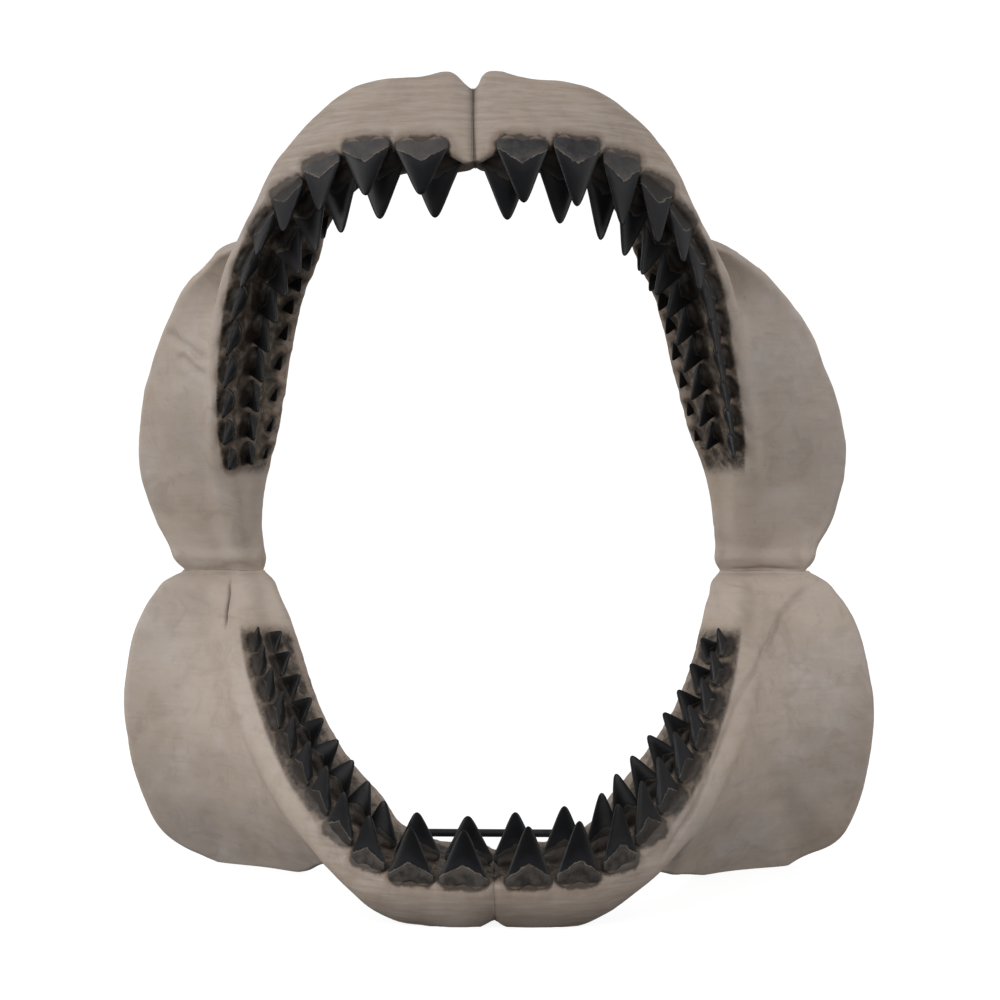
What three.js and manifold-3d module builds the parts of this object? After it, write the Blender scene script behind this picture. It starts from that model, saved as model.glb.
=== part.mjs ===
// Life-size display cast of a giant extinct shark's open jaws, seen as it stands on the floor.
// Millimetres, +Z up, the mouth faces -Y. The origin is on the floor, under the middle of the cast.
// "right" is +X and "left" is -X. The dimensions are those of the +X half, before LEAN and sway.
import * as THREE from "three";
import { mergeVertices } from "three/addons/utils/BufferGeometryUtils.js";
import Module from "manifold-3d";

const wasm = await Module();
wasm.setup();

// ---- Driving dimensions -------------------------------------------------------------------
const GAP = 0.3; // clearance between two pieces that meet
const DEPTH_SHIFT = -338; // moves the middle of the cast's depth onto the origin
const LEAN = -0.027; // sideways drift of the midline for each mm of height
const LEAN_LEVEL = 349; // height at which the midline is at X = 0
const JOINT_LEVEL = 682; // height of the plane between the upper and lower jaw
const FLOOR = 0;

// Each jaw is a beam that runs from the midline (first point) to the jaw joint (last point).
// rim: outer margin of the tooth band. edge: inner margin. fold: far border of the outer face.
// back: from the edge to the beam's rear corner. wing: free border of the flared plate.
const UPPER = {
  rim: [
    [0, 10, 1531], [209, 42, 1544], [348, 115, 1499], [439, 185, 1427], [501, 262, 1307],
    [534, 330, 1171], [561, 410, 1007], [562, 500, 844], [571, 585, JOINT_LEVEL],
  ],
  edge: [
    [0, 110, 1502], [191, 135, 1493], [289, 200, 1432], [341, 290, 1338], [379, 370, 1278],
    [412, 440, 1182], [455, 505, 1016], [507, 560, 848], [519, 600, JOINT_LEVEL],
  ],
  fold: [
    [0, 75, 1691], [235, 105, 1665], [389, 180, 1555], [472, 260, 1428], [544, 310, 1299],
    [586, 370, 1166], [615, 440, 997], [622, 525, 844], [600, 600, JOINT_LEVEL],
  ],
  back: [[0, 50, 85], [50, 105, 50], [60, 70, 0]],
  wing: [
    [476, 288, 1392], [559, 335, 1366], [664, 410, 1283], [737, 480, 1172],
    [785, 530, 1046], [800, 570, 916], [774, 598, 793], [718, 605, JOINT_LEVEL],
  ],
  wingFrom: 0.4, // share of the jaw's length at which the plate leaves the beam
  cleft: { depth: 36, width: 17 }, // notch over the midline
  ridgeCleft: { depth: 0, width: 24 },
  lobe: { at: 50, height: 8, width: 32 }, // swelling beside the notch
  // Sideways offsets of a curve near a height, for the left and the right half.
  sways: [
    { curve: "rim", level: 1120, reach: 330, left: -20, right: -20 },
    { curve: "fold", level: 1120, reach: 330, left: -20, right: -20 },
    { curve: "edge", level: 1120, reach: 330, left: -14, right: -14 },
    { curve: "wing", level: 1120, reach: 330, left: -6, right: -6 },
    { curve: "fold", level: 1430, reach: 110, left: 2, right: -12 },
    { curve: "rim", level: 1430, reach: 110, left: 2, right: -6 },
    { curve: "edge", level: 760, reach: 130, left: -6, right: -7 },
    { curve: "wing", level: 1385, reach: 30, left: -12, right: -14 },
    { curve: "wing", level: 1310, reach: 50, left: -6, right: 0 },
    { curve: "wing", level: 1040, reach: 170, left: 5, right: 8 },
    { curve: "wing", level: 750, reach: 50, left: 5, right: -6 },
  ],
  toothFront: [0, -0.08, -1],
  teeth: {
    left: {
      first: 40, pitch: 116.5, ratio: 0.952, count: 12, height: 112.5, innerTall: 1.15, shrink: 0.37,
      stagger: -0.18, swell: 0.06, lean: [-0.09, -0.7, -0.75], inward: [-0.15, 0.33, 0.26],
    },
    right: {
      first: 47, pitch: 112, ratio: 0.949, count: 12, height: 128.5, innerTall: 1.03, shrink: 0.46,
      stagger: -0.27, swell: 0.2, lean: [-0.11, -0.52, -0.75], inward: [-0.09, 0.34, 0.26],
    },
  },
};
const LOWER = {
  rim: [
    [0, 25, 93], [196, 52, 102], [300, 115, 152], [378, 190, 232], [431, 250, 302],
    [479, 330, 390], [516, 400, 483], [547, 500, 587], [571, 590, JOINT_LEVEL],
  ],
  edge: [
    [0, 190, 152], [181, 215, 176], [237, 250, 228], [303, 310, 289], [343, 350, 336],
    [384, 400, 392], [424, 460, 479], [469, 540, 591], [518, 600, JOINT_LEVEL],
  ],
  fold: [
    [0, 65, -5], [188, 80, -1], [303, 145, 65], [421, 240, 163], [490, 300, 252],
    [550, 375, 358], [588, 440, 466], [619, 530, 585], [601, 605, JOINT_LEVEL],
  ],
  back: [[0, 20, -85], [45, 100, -45], [60, 70, 0]],
  wing: [
    [300, 160, 62], [338, 300, 74], [385, 440, 46], [450, 550, 1], [545, 620, -9],
    [655, 654, -7], [775, 640, 61], [825, 605, 170], [847, 570, 300], [845, 552, 430],
    [804, 573, 603], [720, 605, JOINT_LEVEL],
  ],
  wingFrom: 0.25,
  cleft: { depth: -16, width: 26 },
  ridgeCleft: { depth: 26, width: 26 },
  lobe: { at: 50, height: 0, width: 32 },
  sways: [
    { curve: "rim", level: 560, reach: 220, left: -8, right: -8 },
    { curve: "fold", level: 560, reach: 220, left: -8, right: -8 },
    { curve: "edge", level: 480, reach: 110, left: 7, right: 7 },
    { curve: "edge", level: 700, reach: 70, left: -7, right: -7 },
    { curve: "wing", level: 620, reach: 50, left: 8, right: -8 },
  ],
  toothFront: [0, -0.05, 1],
  teeth: {
    left: {
      first: 5, pitch: 108, ratio: 0.948, count: 11, height: 117, innerTall: 0.85, shrink: 0.43,
      stagger: -0.06, swell: -0.04, lean: [-0.44, -0.55, 0.89], inward: [-0.13, 0.43],
    },
    right: {
      first: 18.5, pitch: 100.5, ratio: 0.971, count: 10, height: 122, innerTall: 0.87, shrink: 0.48,
      stagger: -0.24, swell: 0.14, lean: [-0.34, -0.18, 1.04], inward: [-0.08, 0.21],
    },
  },
};

const WING_THICKNESS = { root: 62, border: 24 };
const MIDLINE_RINGS = [0, 0.012, 0.035]; // close cross-sections that show the notches
const RINGS = 18; // even cross-sections along the rest of a jaw
const WING_RINGS = 18;
const SECTION_STEPS = [2, 3, 2, 3, 2]; // points on each side of a beam's cross-section

// A half's teeth: first and pitch are distances along the rim, ratio is from one pitch to the next,
// shrink is the last height as a share of the first, swell makes those near SWELL.at taller, lean is
// the height axis at the sides, and inward is how far each row leans towards the mouth there.
const SWELL = { at: 2.3, width: 1.6 };
const TURN_FROM = 0.08; // share of the jaw's length where the teeth begin to turn sideways
const TURN_TO = 0.5;

// Rows of teeth from the outer margin inwards: place across the band, size, share of innerTall that
// counts, share of the height that is sunk in, share of the half's stagger, how far the faces of the
// side teeth turn to the front, and how far they are set in, in widths.
const TOOTH_ROWS = [
  { across: 0.0, size: 1.0, inner: 0, sink: 0.08, stagger: 0, turn: 0, inset: 0.13 },
  { across: 0.42, size: 1.0, inner: 1, sink: 0.04, stagger: 1, turn: 0.15, inset: 0 },
  { across: 0.8, size: 0.63, inner: 0, sink: 0.3, stagger: 0.5, turn: 0.6, inset: 0 },
];
const TOOTH_WIDTH_SHARE = 0.9; // of the pitch
const TOOTH_OUTER_SHARE = 0.11; // height of the outer face's ridge, in widths
const TOOTH_INNER_SHARE = { front: 0.13, side: 0.24 };

const ROD = { radius: 8.2, halfLength: 238, y: 268, z: 147, sides: 16 };
const NUT = { radius: 17, thickness: 12, x: 168 };

const resin = new THREE.MeshStandardMaterial({ color: 0x9a8f86, roughness: 0.62, metalness: 0 });
const blackSteel = new THREE.MeshStandardMaterial({ color: 0x232226, roughness: 0.4, metalness: 0.6 });
const plainSteel = new THREE.MeshStandardMaterial({ color: 0xa8a8a8, roughness: 0.3, metalness: 1 });

// ---- Solids -------------------------------------------------------------------------------
// One closed solid from points and triangles, turned to face outwards.
function solidFrom(points, triangles) {
  const volume = triangles.reduce((sum, [a, b, c]) => {
    return sum + points[a].dot(points[b].clone().cross(points[c]));
  }, 0);
  const facing = volume < 0 ? triangles.map(([a, b, c]) => [a, c, b]) : triangles;
  const mesh = new wasm.Mesh({
    numProp: 3,
    vertProperties: new Float32Array(points.flatMap((p) => p.toArray())),
    triVerts: new Uint32Array(facing.flat()),
  });
  return new wasm.Manifold(mesh);
}

// One closed solid from a three.js geometry.
function solidOf(geometry) {
  const bare = geometry.clone();
  bare.deleteAttribute("normal");
  bare.deleteAttribute("uv");
  const merged = mergeVertices(bare, 1e-3);
  return new wasm.Manifold(
    new wasm.Mesh({
      numProp: 3,
      vertProperties: merged.attributes.position.array,
      triVerts: new Uint32Array(merged.index.array),
    }),
  );
}

// The largest body of a solid: sealed pockets and loose slivers go.
function largestBody(solid) {
  const bodies = solid.decompose();
  return bodies.reduce((best, body) => (body.volume() > best.volume() ? body : best));
}

// A skin over rings of points, closed with a fan at each end.
function loft(rings) {
  const count = rings[0].length;
  const points = rings.flat();
  const triangles = [];
  for (let r = 0; r + 1 < rings.length; r++) {
    for (let i = 0; i < count; i++) {
      const a = r * count + i;
      const b = r * count + ((i + 1) % count);
      triangles.push([a, b, b + count], [a, b + count, a + count]);
    }
  }
  for (const [ring, flip] of [[0, true], [rings.length - 1, false]]) {
    const middle = new THREE.Vector3();
    rings[ring].forEach((p) => middle.addScaledVector(p, 1 / count));
    const hub = points.push(middle) - 1;
    for (let i = 0; i < count; i++) {
      const a = ring * count + i;
      const b = ring * count + ((i + 1) % count);
      triangles.push(flip ? [hub, b, a] : [hub, a, b]);
    }
  }
  return solidFrom(points, triangles);
}

// A box big enough to act as the half-space between two heights.
function slab(bottom, top) {
  const box = new THREE.BoxGeometry(4000, 4000, top - bottom);
  box.translate(0, 0, (top + bottom) / 2);
  return solidOf(box);
}

// ---- Curves of a jaw ----------------------------------------------------------------------
const SIDES = { left: -1, right: 1 };

const curveThrough = (list) => {
  const points = list.map((p) => new THREE.Vector3(...p));
  return new THREE.CatmullRomCurve3(points, false, "catmullrom", 0.5);
};

const midlineAt = (z) => LEAN * (z - LEAN_LEVEL);

// The curves of one half, each read by t from 0 at the midline to 1 at the joint.
function jawCurves(jaw, sideName) {
  const [rim, edge, fold, back, wing] = [jaw.rim, jaw.edge, jaw.fold, jaw.back, jaw.wing].map(curveThrough);
  const side = SIDES[sideName];
  const bell = (x, width) => Math.exp(-((x / width) ** 2));
  const notched = (p, { depth, width }) => {
    p.z -= depth * bell(p.x, width);
    return p;
  };
  const lobed = (p, { at, height, width }) => {
    p.z += height * bell(p.x - at, width);
    return p;
  };
  const set = (p, curve) => {
    const sways = jaw.sways.filter((sway) => sway.curve === curve);
    const offset = sways.reduce((sum, sway) => sum + sway[sideName] * bell(p.z - sway.level, sway.reach), 0);
    return new THREE.Vector3(side * p.x + midlineAt(p.z) + offset, p.y + DEPTH_SHIFT, p.z);
  };
  return {
    side,
    rim: (t) => set(rim.getPoint(t), "rim"),
    edge: (t) => set(notched(edge.getPoint(t), jaw.ridgeCleft), "edge"),
    fold: (t) => set(lobed(notched(fold.getPoint(t), jaw.cleft), jaw.lobe), "fold"),
    back: (t) => set(edge.getPoint(t).add(back.getPoint(t)), "edge"),
    wingBorder: (t) => set(wing.getPoint((t - jaw.wingFrom) / (1 - jaw.wingFrom)), "wing"),
  };
}

// Cross-section of the beam at t: a smooth loop through its corners, grown by extra.
function beamSection(curves, t, extra) {
  const rim = curves.rim(t);
  const edge = curves.edge(t);
  const band = rim.clone().lerp(edge, 0.5);
  const corners = [rim, curves.fold(t), curves.back(t), edge, band];
  const middle = rim.clone().add(corners[1]).add(corners[2]).add(edge).multiplyScalar(0.25);
  const loop = new THREE.CatmullRomCurve3(corners, true, "catmullrom", 0.5);
  const ring = [];
  SECTION_STEPS.forEach((steps, side) => {
    for (let i = 0; i < steps; i++) {
      const point = loop.getPoint((side + i / steps) / corners.length);
      const outward = point.clone().sub(middle).normalize();
      ring.push(point.addScaledVector(outward, extra));
    }
  });
  return ring;
}

// The beam's skin. The first ring lies by the midline and the last one past the joint plane.
function beam(curves, extra) {
  const even = Array.from({ length: RINGS }, (_, r) => 0.07 + (0.93 * r) / (RINGS - 1));
  const rings = [...MIDLINE_RINGS, ...even].map((t) => beamSection(curves, t, extra));
  rings[0].forEach((p) => (p.x = midlineAt(p.z) + (curves.side * GAP) / 2));
  return loft(rings);
}

// The flared plate: from the middle of the beam's rear out to its own free border.
function wingPlate(jaw, curves) {
  const { root: thick, border: thin } = WING_THICKNESS;
  const middle = (thick + thin) / 2;
  const rings = [];
  for (let r = 0; r < WING_RINGS; r++) {
    const t = jaw.wingFrom + ((1 - jaw.wingFrom) * r) / (WING_RINGS - 1);
    const root = curves.fold(t).lerp(curves.back(t), 0.5);
    const border = curves.wingBorder(t);
    const before = curves.wingBorder(Math.max(jaw.wingFrom, t - 0.02));
    const ahead = curves.wingBorder(Math.min(1, t + 0.02)).sub(before);
    const across = border.clone().sub(root);
    const normal = across.clone().cross(ahead).normalize();
    const at = (share, thickness) => {
      return root.clone().addScaledVector(across, share).addScaledVector(normal, thickness / 2);
    };
    rings.push([
      at(0, thick), at(0.5, middle), at(0.95, thin), at(1, 0),
      at(0.95, -thin), at(0.5, -middle), at(0, -thick),
    ]);
  }
  return loft(rings);
}

// ---- Teeth --------------------------------------------------------------------------------
// Front outline of a tooth: x in widths, y in heights, from the two-lobed root to the tip.
const TOOTH_OUTLINE = [
  [-0.5, 0.12], [-0.36, 0], [0, 0.07], [0.36, 0], [0.5, 0.12],
  [0.39, 0.32], [0.18, 0.76], [0, 1], [-0.18, 0.76], [-0.39, 0.32],
];
const TOOTH_RIDGE = 0.36; // height of the thickest place

// A tooth as a ridge on each face over the outline, in the frame of its width, face and height.
function toothSolid(base, widthAxis, faceAxis, heightAxis, width, height, innerShare) {
  const at = (x, face, y) => {
    const across = base.clone().addScaledVector(widthAxis, x * width);
    return across.addScaledVector(faceAxis, face * width).addScaledVector(heightAxis, y * height);
  };
  const points = TOOTH_OUTLINE.map(([x, y]) => at(x, 0, y));
  const count = points.length;
  points.push(at(0, TOOTH_OUTER_SHARE, TOOTH_RIDGE));
  points.push(at(0, -innerShare, TOOTH_RIDGE));
  const triangles = [];
  for (let i = 0; i < count; i++) {
    const next = (i + 1) % count;
    triangles.push([i, next, count], [next, i, count + 1]);
  }
  return solidFrom(points, triangles);
}

// The t at which the rim is a given distance from the midline, measured along the rim.
function rimWalk(curves) {
  const steps = 400;
  const lengths = [0];
  let last = curves.rim(0);
  for (let i = 1; i <= steps; i++) {
    const point = curves.rim(i / steps);
    lengths.push(lengths[i - 1] + point.distanceTo(last));
    last = point;
  }
  return (distance) => {
    const i = lengths.findIndex((length) => length >= distance);
    return i < 0 ? 1 : i / steps;
  };
}

// All teeth of one jaw half.
function jawTeeth(jaw, curves, sideName) {
  const { first, pitch, ratio, count, height, innerTall, shrink, stagger, swell, lean, inward } =
    jaw.teeth[sideName];
  const tAt = rimWalk(curves);
  const front = new THREE.Vector3(...jaw.toothFront);
  const leaning = new THREE.Vector3(...lean);
  const forward = new THREE.Vector3(0, -1, 0);
  const teeth = [];
  inward.forEach((rowInward, index) => {
    const row = TOOTH_ROWS[index];
    let distance = first;
    for (let i = 0; i < count; i++) {
      const room = pitch * ratio ** i;
      const t = tAt(distance + room * (0.5 + row.stagger * stagger));
      distance += room;
      const turned = THREE.MathUtils.smoothstep(t, TURN_FROM, TURN_TO);
      const heightAxis = front.clone().lerp(leaning, turned);
      heightAxis.x = curves.side * (heightAxis.x - rowInward * turned);
      heightAxis.normalize();
      const along = curves.rim(Math.min(1, t + 0.02)).sub(curves.rim(Math.max(0, t - 0.02)));
      along.addScaledVector(heightAxis, -along.dot(heightAxis)).normalize();
      const facing = heightAxis.clone().cross(forward).normalize();
      facing.multiplyScalar(Math.sign(facing.dot(along)));
      const widthAxis = along.lerp(facing, row.turn * turned).normalize();
      const outward = new THREE.Vector3(curves.side * turned, turned - 1.2, 0);
      const faceAxis = widthAxis.clone().cross(heightAxis);
      faceAxis.multiplyScalar(Math.sign(faceAxis.dot(outward)));
      const width = room * TOOTH_WIDTH_SHARE * row.size;
      const grown = 1 + (innerTall - 1) * row.inner;
      const swelled = 1 + swell * Math.exp(-(((i - SWELL.at) / SWELL.width) ** 2));
      const shrunk = 1 - (1 - shrink) * (i / (count - 1)) ** 2;
      const tall = height * row.size * grown * swelled * shrunk;
      const base = curves.rim(t).lerp(curves.edge(t), row.across);
      base.addScaledVector(heightAxis, -row.sink * tall);
      base.addScaledVector(faceAxis, -row.inset * width * turned);
      const innerShare = THREE.MathUtils.lerp(TOOTH_INNER_SHARE.front, TOOTH_INNER_SHARE.side, turned);
      teeth.push(toothSolid(base, widthAxis, faceAxis, heightAxis, width, tall, innerShare));
    }
  });
  return teeth;
}

// ---- The cast -----------------------------------------------------------------------------
const cast = new THREE.Group();

function addPiece(name, solid, material) {
  const made = solid.getMesh();
  const geometry = new THREE.BufferGeometry();
  geometry.setAttribute("position", new THREE.BufferAttribute(made.vertProperties, made.numProp));
  geometry.setIndex(new THREE.BufferAttribute(made.triVerts, 1));
  geometry.computeVertexNormals();
  const mesh = new THREE.Mesh(geometry, material);
  mesh.name = name;
  cast.add(mesh);
}

// A cylinder along X, from one distance to another.
function barAlongX(radius, from, to, sides) {
  const bar = new THREE.CylinderGeometry(radius, radius, to - from, sides);
  bar.rotateZ(Math.PI / 2);
  bar.translate((from + to) / 2, ROD.y + DEPTH_SHIFT, ROD.z);
  return solidOf(bar);
}

const aboveJoint = slab(JOINT_LEVEL + GAP / 2, 3000);
const belowJoint = slab(FLOOR, JOINT_LEVEL - GAP / 2);
const socket = barAlongX(ROD.radius + GAP, -ROD.halfLength - GAP, ROD.halfLength + GAP, ROD.sides);

for (const [jawName, jaw, room] of [["upper", UPPER, aboveJoint], ["lower", LOWER, belowJoint]]) {
  for (const sideName of Object.keys(SIDES)) {
    const curves = jawCurves(jaw, sideName);
    const teeth = jawTeeth(jaw, curves, sideName);
    const toothed = wasm.Manifold.union([beam(curves, 0).intersect(room), ...teeth]);
    const arch = jaw === LOWER ? toothed.subtract(socket) : toothed;
    const grown = wasm.Manifold.union([beam(curves, GAP), ...teeth]);
    const wing = wingPlate(jaw, curves).intersect(room).subtract(grown);
    addPiece(`${jawName}_arch_${sideName}`, largestBody(arch), resin);
    addPiece(`${jawName}_wing_${sideName}`, largestBody(wing), resin);
  }
}

// The steel rod that ties the two lower halves together, with a nut near each end.
addPiece("brace_rod", barAlongX(ROD.radius, -ROD.halfLength, ROD.halfLength, ROD.sides), blackSteel);
for (const [sideName, side] of Object.entries(SIDES)) {
  const middle = side * NUT.x;
  const body = barAlongX(NUT.radius, middle - NUT.thickness / 2, middle + NUT.thickness / 2, 6);
  const bore = barAlongX(ROD.radius + GAP, middle - NUT.thickness, middle + NUT.thickness, ROD.sides);
  addPiece(`brace_nut_${sideName}`, body.subtract(bore), plainSteel);
}

export default cast;
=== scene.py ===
# Looks of the life-size cast of a giant shark's jaws: skin of each jaw half, teeth, brace and nuts.
# The shapes repeat the CAD source's named values, in millimetres. They differ from it in the lifts, which
# refine its lobes and notches, the chin's tuck, the fillets, joint rolls and creases, the outer row's swing
# and deeper inset, and the lower right rows, which lean further inward. Meshes are made in metres.
import math

import bpy
import numpy as np
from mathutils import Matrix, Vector, kdtree


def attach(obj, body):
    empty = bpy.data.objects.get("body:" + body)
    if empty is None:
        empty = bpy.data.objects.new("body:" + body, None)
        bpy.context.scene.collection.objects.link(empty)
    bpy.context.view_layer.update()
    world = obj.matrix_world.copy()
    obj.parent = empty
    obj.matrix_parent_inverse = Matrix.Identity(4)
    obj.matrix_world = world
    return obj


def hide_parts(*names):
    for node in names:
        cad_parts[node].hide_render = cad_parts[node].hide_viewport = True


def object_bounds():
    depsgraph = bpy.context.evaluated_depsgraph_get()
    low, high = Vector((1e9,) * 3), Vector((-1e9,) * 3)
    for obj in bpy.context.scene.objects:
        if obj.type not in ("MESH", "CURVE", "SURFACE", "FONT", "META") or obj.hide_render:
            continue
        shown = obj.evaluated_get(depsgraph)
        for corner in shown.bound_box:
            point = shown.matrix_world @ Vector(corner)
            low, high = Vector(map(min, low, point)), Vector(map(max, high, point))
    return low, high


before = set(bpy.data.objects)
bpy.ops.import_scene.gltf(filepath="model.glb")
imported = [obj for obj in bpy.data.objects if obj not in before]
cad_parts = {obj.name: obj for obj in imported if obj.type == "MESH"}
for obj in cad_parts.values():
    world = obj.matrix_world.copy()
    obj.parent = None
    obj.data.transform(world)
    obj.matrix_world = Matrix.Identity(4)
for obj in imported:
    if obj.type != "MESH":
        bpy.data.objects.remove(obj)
CAD_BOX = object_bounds()

MM = 0.001
BOX_LOW, BOX_HIGH = np.array(CAD_BOX[0]) / MM, np.array(CAD_BOX[1]) / MM
BOX_MARGIN = 0.05
VOXEL, SMOOTHINGS = ((3.4, 9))
RNG = np.random.default_rng(20)

# ---- Driving dimensions, as in the CAD source ------------
DEPTH_SHIFT = -338
LEAN = -0.027
LEAN_LEVEL = 349
JOINT_LEVEL = 682
SEAM = 0.4
LOWER_SEAM = 0.08

UPPER = {
    "rim": [
        [0, 10, 1531], [209, 42, 1544], [348, 115, 1499], [439, 185, 1427], [501, 262, 1307],
        [534, 330, 1171], [561, 410, 1007], [562, 500, 844], [571, 585, JOINT_LEVEL],
    ],
    "edge": [
        [0, 110, 1502], [191, 135, 1493], [289, 200, 1432], [341, 290, 1338], [379, 370, 1278],
        [412, 440, 1182], [455, 505, 1016], [507, 560, 848], [519, 600, JOINT_LEVEL],
    ],
    "fold": [
        [0, 75, 1691], [235, 105, 1665], [389, 180, 1555], [472, 260, 1428], [544, 310, 1299],
        [586, 370, 1166], [615, 440, 997], [622, 525, 844], [600, 600, JOINT_LEVEL],
    ],
    "back": [[0, 50, 85], [50, 105, 50], [60, 70, 0]],
    "wing": [
        [476, 288, 1392], [559, 335, 1366], [664, 410, 1283], [737, 480, 1172],
        [785, 530, 1046], [800, 570, 916], [774, 598, 793], [718, 605, JOINT_LEVEL],
    ],
    "wing_from": 0.4,
    "lifts": [
        ("fold", 0, 28, -27, 0), ("fold", 0, 16, 0, -30), ("fold", 50, 32, 8, 8),
        ("fold", 210, 70, 6, 0), ("fold", 115, 50, 0, -6), ("lip", 0, 36, -26, -26),
    ],
    "sways": [
        ("rim", 1120, 330, -20, -20), ("fold", 1120, 330, -20, -20),
        ("edge", 1120, 330, -14, -14), ("wing", 1120, 330, -6, -6),
        ("fold", 1430, 110, 2, -12), ("rim", 1430, 110, 2, -6), ("edge", 760, 130, -6, -7),
        ("wing", 1385, 30, -12, -14), ("wing", 1310, 50, -6, 0), ("wing", 1040, 170, 5, 8),
        ("wing", 750, 50, 5, -6), ("fold", 1050, 190, 18, -7),
    ],
    "teeth": {
        -1: {"first": 40, "pitch": 116.5, "ratio": 0.952, "count": 12, "height": 112.5, "inner_tall": 1.15,
             "shrink": 0.37, "stagger": -0.18, "lean": (-0.09, -0.7, -0.75), "inward": (-0.15, 0.33, 0.26),
             "swell": 0.06},
        1: {"first": 47, "pitch": 112, "ratio": 0.949, "count": 12, "height": 128.5, "inner_tall": 1.03,
            "shrink": 0.46, "stagger": -0.27, "lean": (-0.11, -0.52, -0.75), "inward": (-0.09, 0.34, 0.26),
            "swell": 0.2},
    },
    "tooth_front": (0, -0.08, -1),
    "band_end": 905,
    "band_fade": (-12, 22),
    "band_over": 0.035,
    "fillet": (62, 1.0, 240),
}
LOWER = {
    "rim": [
        [0, 25, 93], [196, 52, 102], [300, 115, 152], [378, 190, 232], [431, 250, 302],
        [479, 330, 390], [516, 400, 483], [547, 500, 587], [571, 590, JOINT_LEVEL],
    ],
    "edge": [
        [0, 190, 152], [181, 215, 176], [237, 250, 228], [303, 310, 289], [343, 350, 336],
        [384, 400, 392], [424, 460, 479], [469, 540, 591], [518, 600, JOINT_LEVEL],
    ],
    "fold": [
        [0, 65, -5], [188, 80, -1], [303, 145, 65], [421, 240, 163], [490, 300, 252],
        [550, 375, 358], [588, 440, 466], [619, 530, 585], [601, 605, JOINT_LEVEL],
    ],
    "back": [[0, 20, -85], [45, 100, -45], [60, 70, 0]],
    "wing": [
        [300, 160, 62], [338, 300, 74], [385, 440, 46], [450, 550, 1], [545, 620, -9],
        [655, 654, -7], [775, 640, 61], [825, 605, 170], [847, 570, 300], [845, 552, 430],
        [804, 573, 603], [720, 605, JOINT_LEVEL],
    ],
    "wing_from": 0.25,
    "lifts": [
        ("fold", 0, 26, 16, 16), ("fold", 150, 40, 7, 7), ("fold", 215, 34, 6, 6),
        ("edge", 0, 26, -26, -26),
        ("ridge", 0, 26, 8, 8), ("ridge", 100, 75, -20, -20),
        ("wing", 373, 43, -2, -24), ("wing", 700, 45, 4, 10),
    ],
    "sways": [
        ("rim", 560, 220, -8, -8), ("fold", 560, 220, -8, -8), ("edge", 480, 110, 7, 7),
        ("edge", 700, 70, -7, -7), ("wing", 620, 50, 8, -8), ("fold", 25, 55, 0, -11),
    ],
    "teeth": {
        -1: {"first": 5, "pitch": 108, "ratio": 0.948, "count": 11, "height": 117, "inner_tall": 0.85,
             "shrink": 0.43, "stagger": -0.06, "lean": (-0.44, -0.55, 0.89), "inward": (-0.13, 0.43),
             "swell": -0.04},
        1: {"first": 18.5, "pitch": 100.5, "ratio": 0.971, "count": 10, "height": 122, "inner_tall": 0.87,
            "shrink": 0.48, "stagger": -0.24, "lean": (-0.34, -0.18, 1.04), "inward": (0.04, 0.5),
            "swell": 0.14},
    },
    "tooth_front": (0, -0.05, 1),
    "band_end": 557,
    "band_fade": (-18, 16),
    "band_over": 0.032,
    "fillet": (58, 0.8, 200),
}
WING_ROOT, WING_BORDER, WING_INSET = 62, 24, 24
ROUND_FROM, ROUND_SHARE = 0.95, 0.05
JOINT_OVERRUN = 10
MIDLINE_OVERRUN = 10
CHIN_TUCK = 16
# How dark the chin grows towards its bottom: partly stain, partly painted shade.
CHIN_STAIN_AND_SHADE = 0.55
JOINT_ROLL, JOINT_ROLL_AT, JOINT_NECK = 5, 30, 4
GUM_LIP, GUM_GROOVE = 1.6, 1.4
FAR_FROM_ROOTS = 80.0
NEIGHBOURS = 4
STEP_ALONG = 0.02

ROWS = [
    {"name": "outer", "across": 0.0, "size": 1.0, "inner": 0, "sink": 0.08, "stagger": 0, "turn": 0.0,
     "swing": 0.12, "inset": 0.17},
    {"name": "middle", "across": 0.42, "size": 1.0, "inner": 1, "sink": 0.04, "stagger": 1, "turn": 0.15,
     "swing": 0.0, "inset": 0.0},
    {"name": "inner", "across": 0.8, "size": 0.63, "inner": 0, "sink": 0.3, "stagger": 0.5, "turn": 0.6,
     "swing": 0.0, "inset": 0.0},
]
TOOTH_WIDTH_SHARE = 0.9
SWELL_AT, SWELL_REACH = 2.3, 1.6
TURN_FROM, TURN_TO = 0.08, 0.5

ROD_RADIUS, ROD_HALF, ROD_Y, ROD_Z = 8.2, 238, 268, 147
ROD_CHAMFER, ROD_AROUND = 1.5, 48
NUT_RADIUS, NUT_THICKNESS, NUT_X = 17, 12, 168
NUT_CHAMFER, NUT_BORE_GAP, NUT_AROUND = 2, 0.3, 72


# ---- Small maths -----------------------------------------
def smoothstep(x, low, high):
    s = np.clip((np.asarray(x, float) - low) / (high - low), 0, 1)
    return s * s * (3 - 2 * s)


def bell(x, width):
    return np.exp(-((x / width) ** 2))


def unit(v):
    return v / np.maximum(np.linalg.norm(v, axis=-1, keepdims=True), 1e-12)


def cubic(a, b, c, d, w):
    """Uniform Catmull-Rom between b and c."""
    m0, m1 = (c - a) / 2, (d - b) / 2
    return b + w * m0 + w**2 * (3 * (c - b) - 2 * m0 - m1) + w**3 * (2 * (b - c) + m0 + m1)


def spline(points):
    """An open curve through the points, read by an array of t from 0 to 1."""
    pts = np.array(points, float)
    padded = np.vstack([2 * pts[0] - pts[1], pts, 2 * pts[-1] - pts[-2]])
    spans = len(pts) - 1

    def at(t):
        p = np.clip(np.asarray(t, float), 0, 1) * spans
        i = np.minimum(p.astype(int), spans - 1)
        w = (p - i)[..., None]
        return cubic(padded[i], padded[i + 1], padded[i + 2], padded[i + 3], w)

    return at


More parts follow.
